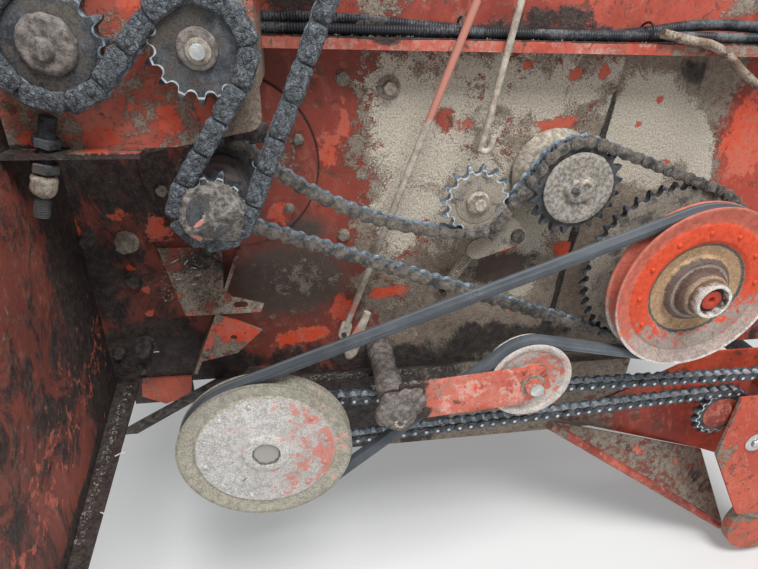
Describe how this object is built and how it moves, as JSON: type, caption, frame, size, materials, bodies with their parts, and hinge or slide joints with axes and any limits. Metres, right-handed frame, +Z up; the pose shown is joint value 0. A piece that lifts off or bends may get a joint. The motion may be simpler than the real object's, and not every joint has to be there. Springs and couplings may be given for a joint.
{
  "type": "round baler side drive",
  "caption": "Chain and belt drive on a round baler's side wall, with sprockets, grooved pulleys, sprung tensioners, brackets and pickup side plate.",
  "frame": {"origin": "on the main drive shaft's axis, at the back face of the side wall, centre of the wall's four mounting holes", "axes": "+X to the right along the wall, +Y into the machine, +Z up; the drives stand out towards -Y"},
  "size_m": [1.366, 0.575, 1.354],
  "materials": {
    "wall_paint": "red-brown paint under grease and dust",
    "orange_paint": "faded orange-red paint with rust",
    "salmon_paint": "faded salmon-red paint with bare rim",
    "dark_steel": "greasy black steel",
    "chain_steel": "oiled dark chain steel with bright wear",
    "bright_steel": "worn bright steel",
    "rusty_steel": "brown rust",
    "belt_rubber": "worn slate-grey rubberised fabric",
    "conduit_plastic": "dusty black corrugated sleeve"
  },
  "bodies": {
    "frame": {"adjuster_rod": "rusty_steel", "bulkhead": "orange_paint", "conduits": "conduit_plastic", "control_rods": "rusty_steel", "corner_brace": "orange_paint", "drive_belt": "belt_rubber", "folded_bracket": "rusty_steel", "heavy_chain": "chain_steel", "low_chain": "bright_steel", "lower_beam": "wall_paint", "lower_sheet": "rusty_steel", "mid_chain": "chain_steel", "pickup_plate": "salmon_paint", "pickup_side_sheet": "orange_paint", "pivot_posts": "dark_steel", "right_wall": "wall_paint", "shaft_bearings": "dark_steel", "sheet_edge_tube": "orange_paint", "side_wall": "wall_paint", "sprocket_bracket": "wall_paint", "tension_spring": "rusty_steel", "top_flange": "wall_paint", "upper_panel": "wall_paint"},
    "main": {"main_shaft": "chain_steel", "main_front_sprocket": "chain_steel"},
    "upper_left": {"upper_left_sprocket": "chain_steel"},
    "upper": {"upper_sprocket": "chain_steel"},
    "top": {"top_sprocket": "chain_steel"},
    "carrier": {"carrier_sprocket": "chain_steel"},
    "tension_lever": {"tension_arm": "dark_steel"},
    "tension_wheel": {"tension_sprocket": "bright_steel"},
    "right_drive": {"right_sprocket": "dark_steel", "right_pulley": "salmon_paint"},
    "left_drive": {"left_sprocket": "chain_steel", "left_pulley": "salmon_paint"},
    "idler_lever": {"idler_arm": "orange_paint"},
    "idler_wheel": {"idler_pulley": "salmon_paint"},
    "low_idler": {"low_idler_sprocket": "chain_steel"},
    "pickup": {"pickup_sprocket": "chain_steel"}
  },
  "joints": [
    {"name": "main_spin", "type": "hinge", "parent": "frame", "child": "main", "pos_m": [0, 0, 0], "axis": [0, 1, 0], "continuous": true},
    {"name": "top_spin", "type": "hinge", "parent": "frame", "child": "top", "pos_m": [0.142, 0, 0.38982], "axis": [0, 1, 0], "continuous": true},
    {"name": "upper_left_spin", "type": "hinge", "parent": "frame", "child": "upper_left", "pos_m": [-0.122, 0, 0.157], "axis": [0, 1, 0], "continuous": true},
    {"name": "upper_spin", "type": "hinge", "parent": "frame", "child": "upper", "pos_m": [0.005, 0, 0.156], "axis": [0, 1, 0], "continuous": true},
    {"name": "right_spin", "type": "hinge", "parent": "frame", "child": "right_drive", "pos_m": [0.652, 0, -0.153], "axis": [0, 1, 0], "continuous": true},
    {"name": "carrier_spin", "type": "hinge", "parent": "frame", "child": "carrier", "pos_m": [0.474, 0, -0.02], "axis": [0, 1, 0], "continuous": true},
    {"name": "tension_spin", "type": "hinge", "parent": "tension_lever", "child": "tension_wheel", "pos_m": [0.332, 0, -0.037], "axis": [0, 1, 0], "continuous": true},
    {"name": "left_spin", "type": "hinge", "parent": "frame", "child": "left_drive", "pos_m": [0.026, 0, -0.389], "axis": [0, 1, 0], "continuous": true},
    {"name": "idler_spin", "type": "hinge", "parent": "idler_lever", "child": "idler_wheel", "pos_m": [0.419, 0, -0.291], "axis": [0, 1, 0], "continuous": true},
    {"name": "low_idler_spin", "type": "hinge", "parent": "frame", "child": "low_idler", "pos_m": [0.838, 0, -0.446], "axis": [0, 1, 0], "continuous": true},
    {"name": "pickup_spin", "type": "hinge", "parent": "frame", "child": "pickup", "pos_m": [1.00797, 0, -0.428], "axis": [0, 1, 0], "continuous": true},
    {"name": "idler_arm_swing", "type": "hinge", "parent": "frame", "child": "idler_lever", "pos_m": [0.2125, 0, -0.3125], "axis": [0, 1, 0], "range_deg": [0, 12]},
    {"name": "tension_arm_swing", "type": "hinge", "parent": "frame", "child": "tension_lever", "pos_m": [0.408, 0, -0.098], "axis": [0, 1, 0], "range_deg": [0, 8], "deforming": ["tension_spring"]}
  ],
  "couplings": [
    {"joint": "top_spin", "follows": "main_spin", "ratio": 0.6},
    {"joint": "upper_left_spin", "follows": "main_spin", "ratio": 0.75},
    {"joint": "upper_spin", "follows": "main_spin", "ratio": -0.8},
    {"joint": "right_spin", "follows": "main_spin", "ratio": 0.36364},
    {"joint": "carrier_spin", "follows": "main_spin", "ratio": 0.76191},
    {"joint": "tension_spin", "follows": "main_spin", "ratio": -1.0667},
    {"joint": "left_spin", "follows": "main_spin", "ratio": 0.36364},
    {"joint": "idler_spin", "follows": "main_spin", "ratio": -0.68171},
    {"joint": "low_idler_spin", "follows": "main_spin", "ratio": -0.34091},
    {"joint": "pickup_spin", "follows": "main_spin", "ratio": 0.27273}
  ]
}
